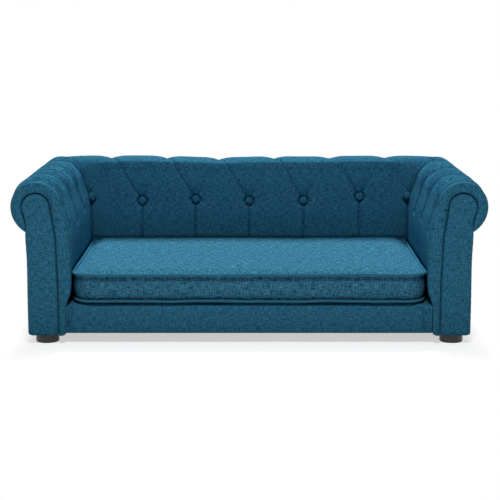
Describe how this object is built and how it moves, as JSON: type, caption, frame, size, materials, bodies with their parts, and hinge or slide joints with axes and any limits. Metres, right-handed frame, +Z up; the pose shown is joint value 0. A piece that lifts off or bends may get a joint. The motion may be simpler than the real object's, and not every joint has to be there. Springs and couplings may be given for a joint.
{
  "type": "pet sofa bed",
  "caption": "Low rolled-arm pet sofa with button-tufted arms and back, a piped loose cushion and short round feet.",
  "frame": {"origin": "on the floor, under the centre of the overall box", "axes": "+X along the width to the bed's right as seen from the front, +Y from the open front to the back, +Z up"},
  "size_m": [0.9, 0.524, 0.31],
  "materials": {
    "upholstery_cloth": "heathered teal linen-look weave",
    "seat_cloth": "heathered teal linen-look weave",
    "piping_cloth": "teal cloth over cord",
    "button_cloth": "teal cloth over a button blank",
    "foam": "open-cell foam",
    "wadding": "cloth over wadding",
    "timber": "sawn softwood",
    "board": "plywood and hardboard",
    "foot_plastic": "dark satin",
    "steel": "zinc plated",
    "twine": "waxed twine",
    "dust_cloth": "non-woven black cloth",
    "zip": "dyed nylon"
  },
  "bodies": {
    "sofa": {"arm_button_ties_left": "twine", "arm_button_ties_right": "twine", "arm_buttons_left": "button_cloth", "arm_buttons_right": "button_cloth", "arm_cover_left": "upholstery_cloth", "arm_cover_right": "upholstery_cloth", "arm_facing_left": "upholstery_cloth", "arm_facing_right": "upholstery_cloth", "arm_foam_left": "foam", "arm_foam_right": "foam", "arm_inner_board_left": "board", "arm_inner_board_right": "board", "arm_outer_board_left": "board", "arm_outer_board_right": "board", "arm_scroll_board_left": "board", "arm_scroll_board_right": "board", "arm_top_rail_left": "timber", "arm_top_rail_right": "timber", "back_button_ties": "twine", "back_buttons": "button_cloth", "back_cover": "upholstery_cloth", "back_foam": "foam", "back_inner_board": "board", "back_outer_board": "board", "back_top_rail": "timber", "base_front_rail": "timber", "base_rear_rail": "timber", "base_side_rail_left": "timber", "base_side_rail_right": "timber", "deck_board": "board", "deck_pad": "wadding", "deck_slats": "timber", "dust_cover": "dust_cloth", "foot_bolts": "steel", "foot_front_left": "foot_plastic", "foot_front_right": "foot_plastic", "foot_inserts": "steel", "foot_rear_left": "foot_plastic", "foot_rear_right": "foot_plastic", "frame_screws": "steel", "front_rail_cover": "upholstery_cloth", "outside_arm_cover_left": "upholstery_cloth", "outside_arm_cover_right": "upholstery_cloth", "outside_back_cover": "upholstery_cloth", "rear_post_left": "timber", "rear_post_right": "timber", "tie_toggles": "foot_plastic"},
    "seat_cushion": {"cushion_cover": "seat_cloth", "cushion_foam": "foam", "cushion_high_piping": "piping_cloth", "cushion_low_piping": "piping_cloth", "cushion_zip_chain": "zip", "cushion_zip_tape": "zip"},
    "zip_slider": {"cushion_zip_slider": "steel"}
  },
  "joints": [
    {"name": "cushion_lift", "type": "slide", "parent": "sofa", "child": "seat_cushion", "axis": [0, 0, 1], "range_m": [0, 0.3]},
    {"name": "zip_slide", "type": "slide", "parent": "seat_cushion", "child": "zip_slider", "axis": [-1, 0, 0], "range_m": [0, 0.464]}
  ]
}
